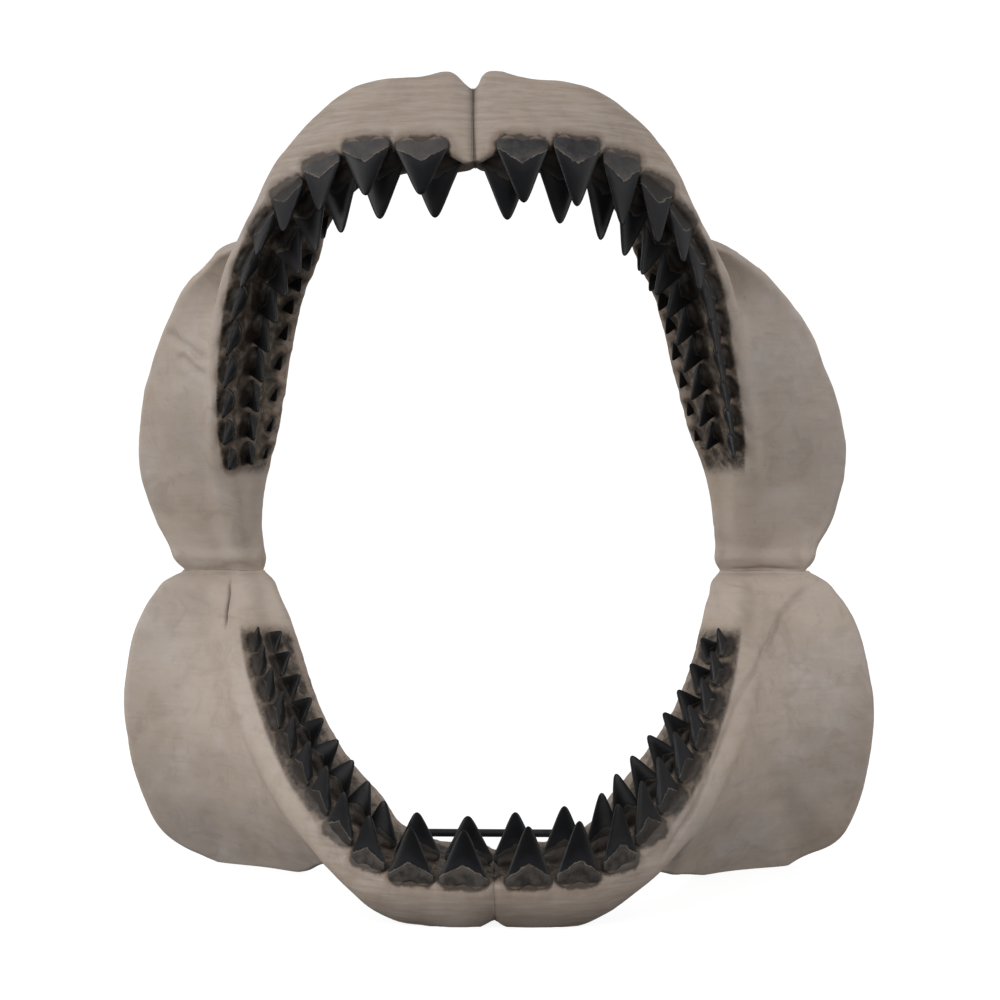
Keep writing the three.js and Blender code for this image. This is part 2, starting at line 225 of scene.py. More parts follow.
def noise(p, scale, seed=0):
    """Smooth value noise from -1 to 1 at the points p, with cells of the given size."""
    q = np.asarray(p, float) / scale + 37.7 * (seed + 1)
    i = np.floor(q).astype(np.int64)
    f = q - i
    f = f * f * (3 - 2 * f)
    total = np.zeros(len(q))
    for dx in (0, 1):
        for dy in (0, 1):
            for dz in (0, 1):
                h = (i[:, 0] + dx) * 374761393 + (i[:, 1] + dy) * 668265263
                h = h + (i[:, 2] + dz) * 1274126177 + seed * 974634777
                h = (h ^ (h >> 13)) * 1103515245
                h = (h ^ (h >> 16)) & 0xFFFF
                wx = f[:, 0] if dx else 1 - f[:, 0]
                wy = f[:, 1] if dy else 1 - f[:, 1]
                wz = f[:, 2] if dz else 1 - f[:, 2]
                total += wx * wy * wz * (h / 32767.5 - 1)
    return total


def midline_at(z):
    """X of the cast's own midline, which leans a little."""
    return LEAN * (z - LEAN_LEVEL)


# ---- Curves of a jaw half --------------------------------
class Half:
    """The curves of one jaw half, each read by an array of t, 0 at the midline and 1 at the joint."""

    def __init__(self, jaw, side):
        self.jaw, self.side = jaw, side
        self.raw = {k: spline(jaw[k]) for k in ("rim", "edge", "fold", "back", "wing")}

    def placed(self, p, curve):
        """Sets a point of a curve in the cast: its side, the lean, and each sideways sway of that curve."""
        z = p[..., 2]
        x = self.side * p[..., 0] + midline_at(z)
        for name, level, reach, left, right in self.jaw["sways"]:
            if name == curve:
                x = x + (left if self.side < 0 else right) * bell(z - level, reach)
        return np.stack([x, p[..., 1] + DEPTH_SHIFT, z], -1)

    def lifted(self, p, curve):
        """Raises a curve by each of its lifts, which are bells over the distance from the midline."""
        p = p.copy()
        x = p[..., 0].copy()
        for name, at, width, left, right in self.jaw["lifts"]:
            if name == curve:
                p[..., 2] += (left if self.side < 0 else right) * bell(x - at, width)
        return p

    def rim(self, t):
        return self.placed(self.raw["rim"](t), "rim")

    def lip(self, t):
        """The rim as it shows between the teeth."""
        return self.placed(self.lifted(self.raw["rim"](t), "lip"), "rim")

    def edge(self, t):
        return self.placed(self.lifted(self.raw["edge"](t), "edge"), "edge")

    def ridge(self, t):
        """The edge as it shows between the teeth."""
        p = self.lifted(self.raw["edge"](t), "edge")
        return self.placed(self.lifted(p, "ridge"), "edge")

    def fold(self, t):
        return self.placed(self.lifted(self.raw["fold"](t), "fold"), "fold")

    def back(self, t):
        return self.placed(self.raw["edge"](t) + self.raw["back"](t), "edge")

    def wing_border(self, t):
        start = self.jaw["wing_from"]
        t = np.clip(t, start, 1)
        return self.placed(self.lifted(self.raw["wing"]((t - start) / (1 - start)), "wing"), "wing")

    def section(self, t, u):
        """Points on the beam's skin: u runs 0 rim, 0.2 fold, 0.4 back, 0.6 edge, 0.8 mid band."""
        rim, edge = self.lip(t), self.ridge(t)
        corners = np.stack([rim, self.fold(t), self.back(t), edge, (rim + edge) / 2], 0)
        p = (np.asarray(u) % 1.0) * 5
        i = np.minimum(p.astype(int), 4)
        w = (p - i)[..., None]
        rows = np.arange(len(t))
        a, b, c, d = (corners[(i + k) % 5, rows] for k in (-1, 0, 1, 2))
        return cubic(a, b, c, d, w)


def past_joint(half, pts, around):
    """Moves the last ring of a loft a little past the joint plane; skin() cuts it flat again."""
    upward = -1 if half.jaw is UPPER else 1
    pts[-around:, 2] += upward * JOINT_OVERRUN
    return pts


def beam_mesh(half, rings, around):
    """Skin of the beam as (points, faces, t, u), with its rings closer together at the midline."""
    close, close_rings = 0.06, 14
    t = np.concatenate([np.linspace(0, close, close_rings)[:-1], np.linspace(close, 1, rings), [1]])
    u = np.arange(around) / around
    tt, uu = np.repeat(t, around), np.tile(u, len(t))
    pts = half.section(tt, uu)
    first = slice(0, around)
    pts[first, 0] = midline_at(pts[first, 2]) - half.side * MIDLINE_OVERRUN
    return past_joint(half, pts, around), tube_faces(len(t), around), tt, uu


def tube_faces(rings, around):
    """Quads between the rings of a closed tube, and last its two end caps."""
    faces = []
    for r in range(rings - 1):
        for i in range(around):
            j = (i + 1) % around
            a, b = r * around + i, r * around + j
            faces.append((a, b, b + around, a + around))
    faces.append(tuple(range(around))[::-1])
    faces.append(tuple(range((rings - 1) * around, rings * around)))
    return faces


def wing_mesh(half, rings, across):
    """Skin of the flared plate as (points, faces, t, share)."""
    start = half.jaw["wing_from"]
    t = np.append(np.linspace(start, 1, rings - 1), 1)
    border = half.wing_border(t)
    after, before = np.minimum(1, t + STEP_ALONG), np.maximum(start, t - STEP_ALONG)
    ahead = half.wing_border(after) - half.wing_border(before)
    fold = half.fold(t)
    buried = (fold + half.back(t)) / 2
    normal = unit(np.cross(border - buried, ahead))
    normal *= -np.sign(normal[:, 1].sum())
    flush = fold - normal * WING_ROOT / 2 + unit(fold - border) * WING_INSET
    spread = smoothstep(np.linalg.norm(border - fold, axis=1), 60, 190)[:, None]
    root = buried * (1 - spread) + flush * spread
    outward = border - root
    # The plate thins towards its border, whose last share is rounded.
    shares = 1 - (1 - np.linspace(0, 1, across)) ** 1.6
    thick = WING_ROOT + (WING_BORDER - WING_ROOT) * shares / ROUND_FROM
    rounded = np.sqrt(np.clip(1 - (np.clip(shares - ROUND_FROM, 0, 1) / ROUND_SHARE) ** 2, 0, 1))
    thick = np.where(shares > ROUND_FROM, WING_BORDER * rounded, thick)
    loop = np.concatenate([shares, shares[::-1][1:]])
    offset = np.concatenate([thick, -thick[::-1][1:]]) / 2
    pts = root[:, None] + outward[:, None] * loop[None, :, None] + normal[:, None] * offset[None, :, None]
    around = len(loop)
    pts = past_joint(half, pts.reshape(-1, 3), around)
    return pts, tube_faces(rings, around), np.repeat(t, around), np.tile(loop, rings)


# ---- Teeth -----------------------------------------------
def jaw_teeth(half):
    """The place, directions and sizes of each tooth of a jaw half, row by row."""
    jaw, teeth = half.jaw, half.jaw["teeth"][half.side]
    walk_t = np.linspace(0, 1, 401)
    lengths = np.concatenate([[0], np.cumsum(np.linalg.norm(np.diff(half.rim(walk_t), axis=0), axis=1))])
    front, side = np.array(jaw["tooth_front"], float), np.array(teeth["lean"], float)
    made = []
    for row_index, row in enumerate(ROWS[: len(teeth["inward"])]):
        distance = teeth["first"]
        for i in range(teeth["count"]):
            room = teeth["pitch"] * teeth["ratio"] ** i
            place = distance + room * (0.5 + row["stagger"] * teeth["stagger"])
            t = float(np.interp(place, lengths, walk_t))
            distance += room
            turned = float(smoothstep(t, TURN_FROM, TURN_TO))
            up = front * (1 - turned) + side * turned
            up[0] = half.side * (up[0] - teeth["inward"][row_index] * turned)
            up = unit(up)
            ends = half.rim(np.array([max(0, t - STEP_ALONG), min(1, t + STEP_ALONG)]))
            along = ends[1] - ends[0]
            along = unit(along - up * along.dot(up))
            facing = unit(np.cross(up, [0, -1, 0]))
            facing = facing * np.sign(facing.dot(along))
            wide = unit(along + (facing - along) * row["turn"] * turned)
            swing = row["swing"] * turned * half.side
            wide = wide * math.cos(swing) + np.cross(up, wide) * math.sin(swing)
            face = np.cross(wide, up)
            face = face * np.sign(face.dot([half.side * turned, -1.2 + turned, 0]))
            grown = 1 + (teeth["inner_tall"] - 1) * row["inner"]
            shrunk = 1 - (1 - teeth["shrink"]) * (i / (teeth["count"] - 1)) ** 2
            swelled = 1 + teeth["swell"] * math.exp(-(((i - SWELL_AT) / SWELL_REACH) ** 2))
            tall = teeth["height"] * row["size"] * grown * shrunk * swelled
            rim, edge = half.rim(np.array([t]))[0], half.edge(np.array([t]))[0]
            width = room * TOOTH_WIDTH_SHARE * row["size"]
            base = rim + (edge - rim) * row["across"] - up * row["sink"] * tall
            base = base - face * row["inset"] * width * turned
            made.append({
                "base": base, "wide": wide, "face": face, "up": up, "row": row_index,
                "width": width, "tall": tall, "turned": turned,
            })
    return made


TOOTH_RINGS, TOOTH_AROUND = ((40, 36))
SHARE_AT = [0, 0.03, 0.08, 0.14, 0.22, 0.34, 0.5, 0.66, 0.8, 0.9, 0.96, 0.99, 1]
HALF_WIDTH = [0.44, 0.485, 0.5, 0.495, 0.47, 0.412, 0.33, 0.25, 0.178, 0.12, 0.078, 0.041, 0.004]
HALF_THICK = [0.05, 0.08, 0.1, 0.11, 0.116, 0.112, 0.095, 0.078, 0.062, 0.048, 0.034, 0.018, 0.002]
LINGUAL_SHARE = 1.12
LINGUAL_TURNED = 1.2
CHEVRON_MIDDLE, CHEVRON_SIDE = 0.42, 0.2
CHEVRON_STEP = 0.008
LOBE_HEIGHT, TORUS_AT = 0.085, 0.2
DENT_DEPTH = 0.02
WOBBLE_HEIGHT, WOBBLE_SIZE = 0.012, 0.16
BEND_SPREAD, TILT_SPREAD = 0.012, 0.01


def tooth_mesh(tooth, rng):
    """One tooth as (points, faces, look, kind): a two-lobed root plate and a lens-shaped crown.

    look is (place across, height over the chevron, height), kind is (random, row, side share)."""
    v = 1 - (1 - np.linspace(0, 1, TOOTH_RINGS)) ** 1.35
    angle = 2 * np.pi * np.arange(TOOTH_AROUND) / TOOTH_AROUND
    s, f = np.cos(angle), np.sin(angle)
    s = np.sign(s) * np.abs(s) ** 0.85
    half_width = np.interp(v, SHARE_AT, HALF_WIDTH)
    half_thick = np.interp(v, SHARE_AT, HALF_THICK)
    sv, vv = np.meshgrid(s, v)
    fv = np.meshgrid(f, v)[0]
    lobes = LOBE_HEIGHT * np.cos(np.pi * np.clip(np.abs(sv), 0, 1) / 1.25) ** 2
    y = vv + lobes * (1 - vv) ** 3
    x = sv * half_width[:, None]
    lens = np.sign(fv) * np.abs(fv) ** 1.15
    torus = bell(y - TORUS_AT, 0.13)
    turned = tooth["turned"]
    outer = 0.55 - 0.1 * turned
    inner = LINGUAL_SHARE + 0.3 * torus + LINGUAL_TURNED * turned * (1 - smoothstep(y, 0.1, 1.0) * 0.7)
    z = lens * half_thick[:, None] * np.where(fv > 0, outer, inner)
    chevron = CHEVRON_MIDDLE - (CHEVRON_MIDDLE - CHEVRON_SIDE) * np.abs(sv) ** 1.25
    over = y - chevron
    z += np.sign(fv) * CHEVRON_STEP * np.abs(fv) * smoothstep(over, -0.015, 0.015)
    dent = np.exp(-((sv / 0.45) ** 2) - ((y - 0.2) / 0.12) ** 2)
    z -= np.sign(fv) * DENT_DEPTH * dent * np.abs(fv)
    width, tall = tooth["width"], tooth["tall"]
    uneven = np.stack([x, y * 1.4, z], -1).reshape(-1, 3) + rng.uniform(0, 50)
    wobble = noise(uneven, WOBBLE_SIZE, 3).reshape(x.shape)
    z += np.sign(fv) * WOBBLE_HEIGHT * wobble * np.abs(fv) * (1 - smoothstep(over, -0.05, 0.02))
    x = x + rng.normal(0, BEND_SPREAD) * y**2
    z = z + rng.normal(0, TILT_SPREAD) * y**2
    p = tooth["base"] + (x * width)[..., None] * tooth["wide"] + (z * width)[..., None] * tooth["face"]
    p = p + (y * tall)[..., None] * tooth["up"]
    look = np.stack([sv, over, y], -1).reshape(-1, 3)
    kind = np.tile([rng.uniform(), tooth["row"] / 2, turned], (len(look), 1))
    return p.reshape(-1, 3), tooth_faces(), look, kind


def tooth_faces():
    """The tooth's tube, each end of which is closed by quads that cross it."""
    faces = tube_faces(TOOTH_RINGS, TOOTH_AROUND)[:-2]
    half = TOOTH_AROUND // 2
    for start, flip in ((0, True), ((TOOTH_RINGS - 1) * TOOTH_AROUND, False)):
        for k in range(half):
            ring = [k, k + 1, (TOOTH_AROUND - k - 1) % TOOTH_AROUND, (TOOTH_AROUND - k) % TOOTH_AROUND]
            quad = [start + q for q in dict.fromkeys(ring)]
            faces.append(tuple(quad[::-1] if flip else quad))
    return faces


# ---- Meshes to objects -----------------------------------
def make_object(name, points, faces, smooth=True):
    mesh = bpy.data.meshes.new(name)
    mesh.from_pydata((np.asarray(points) * MM).tolist(), [], [tuple(map(int, f)) for f in faces])
    mesh.validate()
    made = bpy.data.objects.new(name, mesh)
    bpy.context.scene.collection.objects.link(made)
    mesh.shade_smooth() if smooth else mesh.shade_flat()
    return made


def add_attribute(mesh, name, values):
    values = np.asarray(values, np.float32)
    kind = "FLOAT" if values.ndim == 1 else "FLOAT_VECTOR"
    made = mesh.attributes.new(name, kind, "POINT")
    made.data.foreach_set("value" if values.ndim == 1 else "vector", values.ravel())


def coordinates(mesh):
    co = np.empty(len(mesh.vertices) * 3, np.float32)
    mesh.vertices.foreach_get("co", co)
    return co.reshape(-1, 3).astype(float) / MM


def set_coordinates(mesh, points):
    mesh.vertices.foreach_set("co", (np.asarray(points) * MM).astype(np.float32).ravel())
    mesh.update()


def vertex_normals(mesh):
    out = np.empty(len(mesh.vertices) * 3, np.float32)
    mesh.vertices.foreach_get("normal", out)
    return out.reshape(-1, 3).astype(float)


def apply_modifier(made, kind, **settings):
    modifier = made.modifiers.new(kind, kind)
    for key, value in settings.items():
        setattr(modifier, key, value)
    graph = bpy.context.evaluated_depsgraph_get()
    mesh = bpy.data.meshes.new_from_object(made.evaluated_get(graph))
    made.modifiers.clear()
    old = made.data
    made.data = mesh
    mesh.name = made.name
    bpy.data.meshes.remove(old)


def fillet(made, weights, rounds):
    """Smooths the mesh where the weights ask for it."""
    group = made.vertex_groups.new(name="fillet")
    levels = np.round(weights * 10).astype(int)
    for level in range(1, 11):
        group.add(np.flatnonzero(levels == level).tolist(), level / 10, "REPLACE")
    apply_modifier(made, "SMOOTH", factor=0.5, iterations=rounds, vertex_group="fillet")
    made.vertex_groups.clear()


def sharpen_ends(mesh, on_end):
    """Marks the edges of a flat end as sharp, so that its shading stays off the skin beside it."""
    pairs = np.empty(len(mesh.edges) * 2, np.int32)
    mesh.edges.foreach_get("vertices", pairs)
    sharp = on_end[pairs.reshape(-1, 2)].all(axis=1)
    mesh.edges.foreach_set("use_edge_sharp", sharp)


def join_meshes(parts):
    """(points, faces) of several closed meshes as one list each."""
    points, faces, count = [], [], 0
    for p, f in parts:
        points.append(p)
        faces.extend(tuple(i + count for i in face) for face in f)
        count += len(p)
    return np.vstack(points), faces


# ---- Gum round the teeth ---------------------------------
def ball(centre, axes, radii, rings=10, around=14):
    """A closed ellipsoid."""
    lat = np.linspace(0, np.pi, rings + 1)[1:-1]
    lon = 2 * np.pi * np.arange(around) / around
    grid = np.stack([
        np.outer(np.sin(lat), np.cos(lon)), np.outer(np.sin(lat), np.sin(lon)),
        np.outer(np.cos(lat), np.ones(around)),
    ], -1).reshape(-1, 3)
    grid = np.vstack([grid, [0, 0, 1], [0, 0, -1]])
    pts = centre + (grid * radii) @ np.array(axes)
    faces = tube_faces(rings - 1, around)[:-2]
    top, bottom = len(pts) - 2, len(pts) - 1
    last = (rings - 2) * around
    for i in range(around):
        j = (i + 1) % around
        faces.append((top, j, i))
        faces.append((bottom, last + i, last + j))
    return pts, faces


def gum_mounds(teeth, rng):
    """Swellings of gum that hold the inner rows."""
    mounds = []
    for tooth in teeth:
        w, h = tooth["width"], tooth["tall"]
        axes = [tooth["wide"], tooth["face"], tooth["up"]]
        if tooth["row"] == 0:
            centre = tooth["base"] + tooth["up"] * h * 0.1 - tooth["face"] * w * 0.14
            radii = np.array([0.42 * w, 0.13 * w, 0.16 * h])
        elif tooth["row"] == 1:
            centre = tooth["base"] + tooth["up"] * h * 0.08 - tooth["face"] * w * 0.05
            radii = np.array([0.5 * w, 0.24 * w, 0.2 * h])
        else:
            centre = tooth["base"] + tooth["up"] * h * 0.16
            radii = np.array([0.56 * w, 0.34 * w, 0.26 * h])
        radii = radii * rng.uniform(0.9, 1.1, 3)
        mounds.append(ball(centre, axes, radii))
    return mounds


# ---- Skin of a jaw half ----------------------------------
def near_path(points, path):
    """Distance in the XZ plane from each point to a polyline, and its share of the way along."""
    best, share = np.full(len(points), 1e9), np.zeros(len(points))
    q = points[:, [0, 2]]
    spans = len(path) - 1
    for k in range(spans):
        a, b = np.array(path[k], float), np.array(path[k + 1], float)
        along = b - a
        s = np.clip(((q - a) @ along) / along.dot(along), 0, 1)
        d = np.linalg.norm(q - a - s[:, None] * along, axis=1)
        share = np.where(d < best, (k + s) / spans, share)
        best = np.minimum(best, d)
    return best, share


# Creases, and ridges of negative depth, seen from the front: path in (X, Z), half width, depth, stain
# (darkening that is partly stain, partly painted shade in the crease).
CREASES = {
    ("lower", -1): [
        ([(-612, 676), (-612, 640), (-606, 600), (-594, 560)], 15, 5, 0.12),
        ([(-612, 664), (-611, 630), (-609, 600), (-605, 556)], 2.8, 6, 0.9),
        ([(-690, 650), (-664, 603), (-636, 549), (-615, 490), (-600, 420)], 34, 6, 0.14),
        ([(-566, 650), (-552, 590)], 30, -7, 0.0),
        ([(-660, 681), (-541, 681)], 9, 1, 0.16),
    ],
    ("lower", 1): [
        ([(577, 672), (578, 640), (568, 585), (553, 528)], 17, 7, 0.16),
        ([(722, 640), (691, 634), (667, 616), (642, 590), (604, 529), (564, 470), (512, 411), (472, 329)],
         9, 6, 0.32),
        ([(520, 420), (472, 329), (440, 266), (408, 207), (370, 157), (332, 110)], 6, 5, 0.42),
        ([(700, 600), (650, 530), (600, 450)], 40, 4, 0.06),
        ([(700, 648), (752, 600), (790, 545)], 26, -5, 0.0),
        ([(540, 650), (528, 590)], 30, -7, 0.0),
        ([(520, 681), (604, 680), (702, 679)], 8, 1, 0.2),
    ],
    ("upper", -1): [
        ([(-640, 690), (-613, 692), (-589, 695), (-549, 690)], 8, 2, 0.16),
        ([(-729, 1218), (-680, 1183), (-623, 1140)], 10, 5, 0.14),
        ([(-706, 1163), (-669, 1139), (-631, 1103)], 9, 5, 0.18),
    ],
    ("upper", 1): [
        ([(535, 688), (579, 685), (603, 688), (640, 688), (671, 685), (706, 684)], 7, 3, 0.42),
        ([(560, 905), (574, 800), (590, 700)], 30, 4, 0.05),
    ],
}


def skin(name, half, teeth, rng):
    """The cast skin of one jaw half, with its paint attributes."""
    beam_rings, beam_around = ((150, 64))
    wing_rings, wing_across = ((130, 40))
    beam_points, beam_faces, beam_t, beam_u = beam_mesh(half, beam_rings, beam_around)
    wing_points, wing_faces, wing_t, wing_share = wing_mesh(half, wing_rings, wing_across)
    upper = half.jaw is UPPER
    parts = [(beam_points, beam_faces), (wing_points, wing_faces), *gum_mounds(teeth, rng)]
    made = make_object(name, *join_meshes(parts))
    apply_modifier(made, "REMESH", mode="VOXEL", voxel_size=VOXEL * MM, adaptivity=0)
    apply_modifier(made, "SMOOTH", factor=0.5, iterations=SMOOTHINGS)
    mesh = made.data

    p = coordinates(mesh)
    # The nearest places on the smooth shapes give each vertex its place in the jaw.
    count = len(beam_points)
    tree = kdtree.KDTree(count + len(wing_points))
    for i, q in enumerate([*beam_points, *wing_points]):
        tree.insert(q, i)
    tree.balance()
    found = [tree.find_n(q, NEIGHBOURS) for q in p]
    near = np.array([[hit[1] for hit in hits] for hits in found])
    far = np.array([[hit[2] for hit in hits] for hits in found])
    on_wing = near[:, 0] >= count
    weight = ((near >= count) == on_wing[:, None]) / (far + 1.5) ** 2
    weight /= weight.sum(axis=1, keepdims=True)
    beam_near, wing_near = np.minimum(near, count - 1), np.maximum(near - count, 0)
    t = (np.where(on_wing[:, None], wing_t[wing_near], beam_t[beam_near]) * weight).sum(axis=1)
    turn = 2 * np.pi * beam_u[beam_near]
    sine, cosine = ((f(turn) * weight).sum(axis=1) for f in (np.sin, np.cos))
    u = np.arctan2(sine, cosine) / (2 * np.pi) % 1
    share = np.where(on_wing, (wing_share[wing_near] * weight).sum(axis=1), 0)

    # The plate flows out of the beam's front without a step.
    fold = half.fold(t)
    spread = smoothstep(np.linalg.norm(half.wing_border(t) - fold, axis=1), 40, 130)
    reach, strength, rounds = half.jaw["fillet"]
    blended = np.exp(-((np.linalg.norm(p - fold, axis=1) / reach) ** 2)) * spread * strength
    blended *= smoothstep(t, half.jaw["wing_from"], half.jaw["wing_from"] + 0.1)
    fillet(made, blended, rounds)
    mesh = made.data
    p = coordinates(mesh)

    # The tooth band, fading out towards the joint.
    end = half.jaw["band_end"]
    z_fade = smoothstep(p[:, 2], *(end + fade for fade in half.jaw["band_fade"]))
    if not upper:
        z_fade = 1 - z_fade
    aside = smoothstep(t, 0.26, 0.42)
    outward = 1 - smoothstep(u, 0.95, 1.0) * (1 - aside)
    across = np.maximum(smoothstep(u, 0.63, 0.69), 0.75 * smoothstep(u, 0.55, 0.63)) * outward
    over = half.jaw["band_over"]
    across = np.maximum(across, (1 - smoothstep(u, over, over + 0.02)) * aside)
    if upper:
        across = across * (0.35 + 0.65 * smoothstep(t, 0.02, 0.12))
    band = np.where(on_wing, 0, across) * z_fade

    # Closeness to the teeth, for the dark wash with painted shade round them, and the distance from the
    # outline of the nearest root.
    wash_and_shade = np.zeros(len(p))
    gap = np.full(len(p), FAR_FROM_ROOTS)
    for tooth in teeth:
        d = p - tooth["base"]
        a, b, c = d @ tooth["wide"], d @ tooth["face"], d @ tooth["up"]
        width, tall = tooth["width"], tooth["tall"]
        close = np.sqrt((a / width / 0.56) ** 2 + (b / width / 0.42) ** 2 + ((c / tall - 0.34) / 0.5) ** 2)
        wash_and_shade = np.maximum(wash_and_shade, 1 - smoothstep(close, 0.55, 1.3))
        corner = 0.16 * width
        # The root as a box with rounded corners: signed distance from its skin.
        beyond = np.stack([
            np.abs(a) - 0.5 * width + corner, np.abs(b) - 0.2 * width + corner,
            np.abs(c - 0.2 * tall) - 0.2 * tall + corner,
        ], -1)
        outline = np.linalg.norm(np.maximum(beyond, 0), axis=1) + np.minimum(beyond.max(axis=1), 0) - corner
        gap = np.minimum(gap, outline)
    groove = bell(gap - 1, 3.5)
    lip = bell(gap - 12, 8)
    normal = vertex_normals(mesh)

    shift = np.zeros(len(p))
    stain_and_shade = np.zeros(len(p))
    facing = smoothstep(-normal[:, 1], 0.0, 0.35)
    broken = 0.7 + 0.45 * noise(p, 22, 8)
    # Each crease is dented and darkened along its path; the darkening is partly stain, partly painted
    # shade.
    for path, wide, deep, dark in CREASES[("upper" if upper else "lower", half.side)]:
        d, share_along = near_path(p + 5 * noise(p, 40, 9)[:, None], path)
        ends = smoothstep(share_along, -0.02, 0.2) * (1 - smoothstep(share_along, 0.8, 1.02))
        shape = bell(d, wide) * facing * (0.15 + 0.85 * ends)
        shift -= deep * shape
        stain_and_shade = np.maximum(stain_and_shade, dark * shape**1.6 * broken)

    # Uneven casting: broad and small dents and faint ripples, then lumps in the gum and round each root.
    shift += 2.2 * noise(p, 95, 1) * (1 - band) + 0.9 * noise(p, 34, 2)
    shift += 0.2 * noise(p, 14, 3) * (1 - band)
    shift += band * (2.6 * noise(p, 17, 4) + 1.2 * noise(p, 8, 5))
    shift += GUM_LIP * lip - GUM_GROOVE * groove
    # The cast swells beside the jaw corner and draws in at it.
    above = p[:, 2] - JOINT_LEVEL if upper else JOINT_LEVEL - p[:, 2]
    shift += JOINT_ROLL * bell(above - JOINT_ROLL_AT, 17) - JOINT_NECK * bell(above, 8)
    # Free borders of the wings are a little wavy, and the seam at the midline is a stained groove.
    border = smoothstep(share, 0.85, 1.0)
    from_seam = np.abs(p[:, 0] - midline_at(p[:, 2]))
    if upper:
        shift += 3.5 * noise(p, 60, 6) * border
        shift -= 5 * bell(from_seam, 8) + 3 * bell(from_seam, 24)
        stain_and_shade = np.maximum(stain_and_shade, 0.5 * bell(from_seam, 7) * facing)
    else:
        shift += 1.5 * noise(p, 80, 6) * border
        shift -= 3 * bell(from_seam, 10)
        stain_and_shade = np.maximum(stain_and_shade, 0.3 * bell(from_seam, 10) * facing)
        # The chin is darkened towards its bottom, partly stain, partly painted shade, and tucked under.
        front = (1 - smoothstep(t, 0.3, 0.55)) * ~on_wing
        stain_and_shade = np.maximum(stain_and_shade, CHIN_STAIN_AND_SHADE * (1 - smoothstep(p[:, 2], -10, 110)) * front)
        tucked = (1 - smoothstep(p[:, 2], -10, 75)) * front * smoothstep(-normal[:, 1], -0.2, 0.4)
        p[:, 1] += CHIN_TUCK * tucked
    p = p + normal * shift[:, None]

    # Each piece keeps to its own side of the seams and inside the CAD box.
    middle = midline_at(p[:, 2])
    clearance = SEAM if upper else LOWER_SEAM
    p[:, 0] = middle + half.side * np.maximum(half.side * (p[:, 0] - middle), clearance)
    if upper:
        p[:, 2] = np.maximum(p[:, 2], JOINT_LEVEL + 0.1)
    else:
        p[:, 2] = np.minimum(p[:, 2], JOINT_LEVEL - 0.1)
    p = np.clip(p, BOX_LOW + BOX_MARGIN, BOX_HIGH - BOX_MARGIN)
    set_coordinates(mesh, p)
    depth = np.maximum(smoothstep(u, 0.6, 0.76), 1 - smoothstep(u, 0.15, 0.25))
    painted = {"band": band, "wash_and_shade": wash_and_shade, "gap": gap, "stain_and_shade": stain_and_shade, "depth": depth, "along": t}
    for key, values in painted.items():
        add_attribute(mesh, key, values)
    mesh.shade_smooth()
    sharpen_ends(mesh, np.abs(p[:, 2] - JOINT_LEVEL) < 0.2)
    return made


# ---- Materials -------------------------------------------
def srgb(r, g, b):
    """Linear colour of an 8-bit screen colour."""
    def linear(c):
        return ((c / 255 + 0.055) / 1.055) ** 2.4 if c > 10 else c / 255 / 12.92

    return linear(r), linear(g), linear(b), 1.0


def set_inputs(node, values):
    for key, value in values.items():
        node.inputs[key].default_value = value


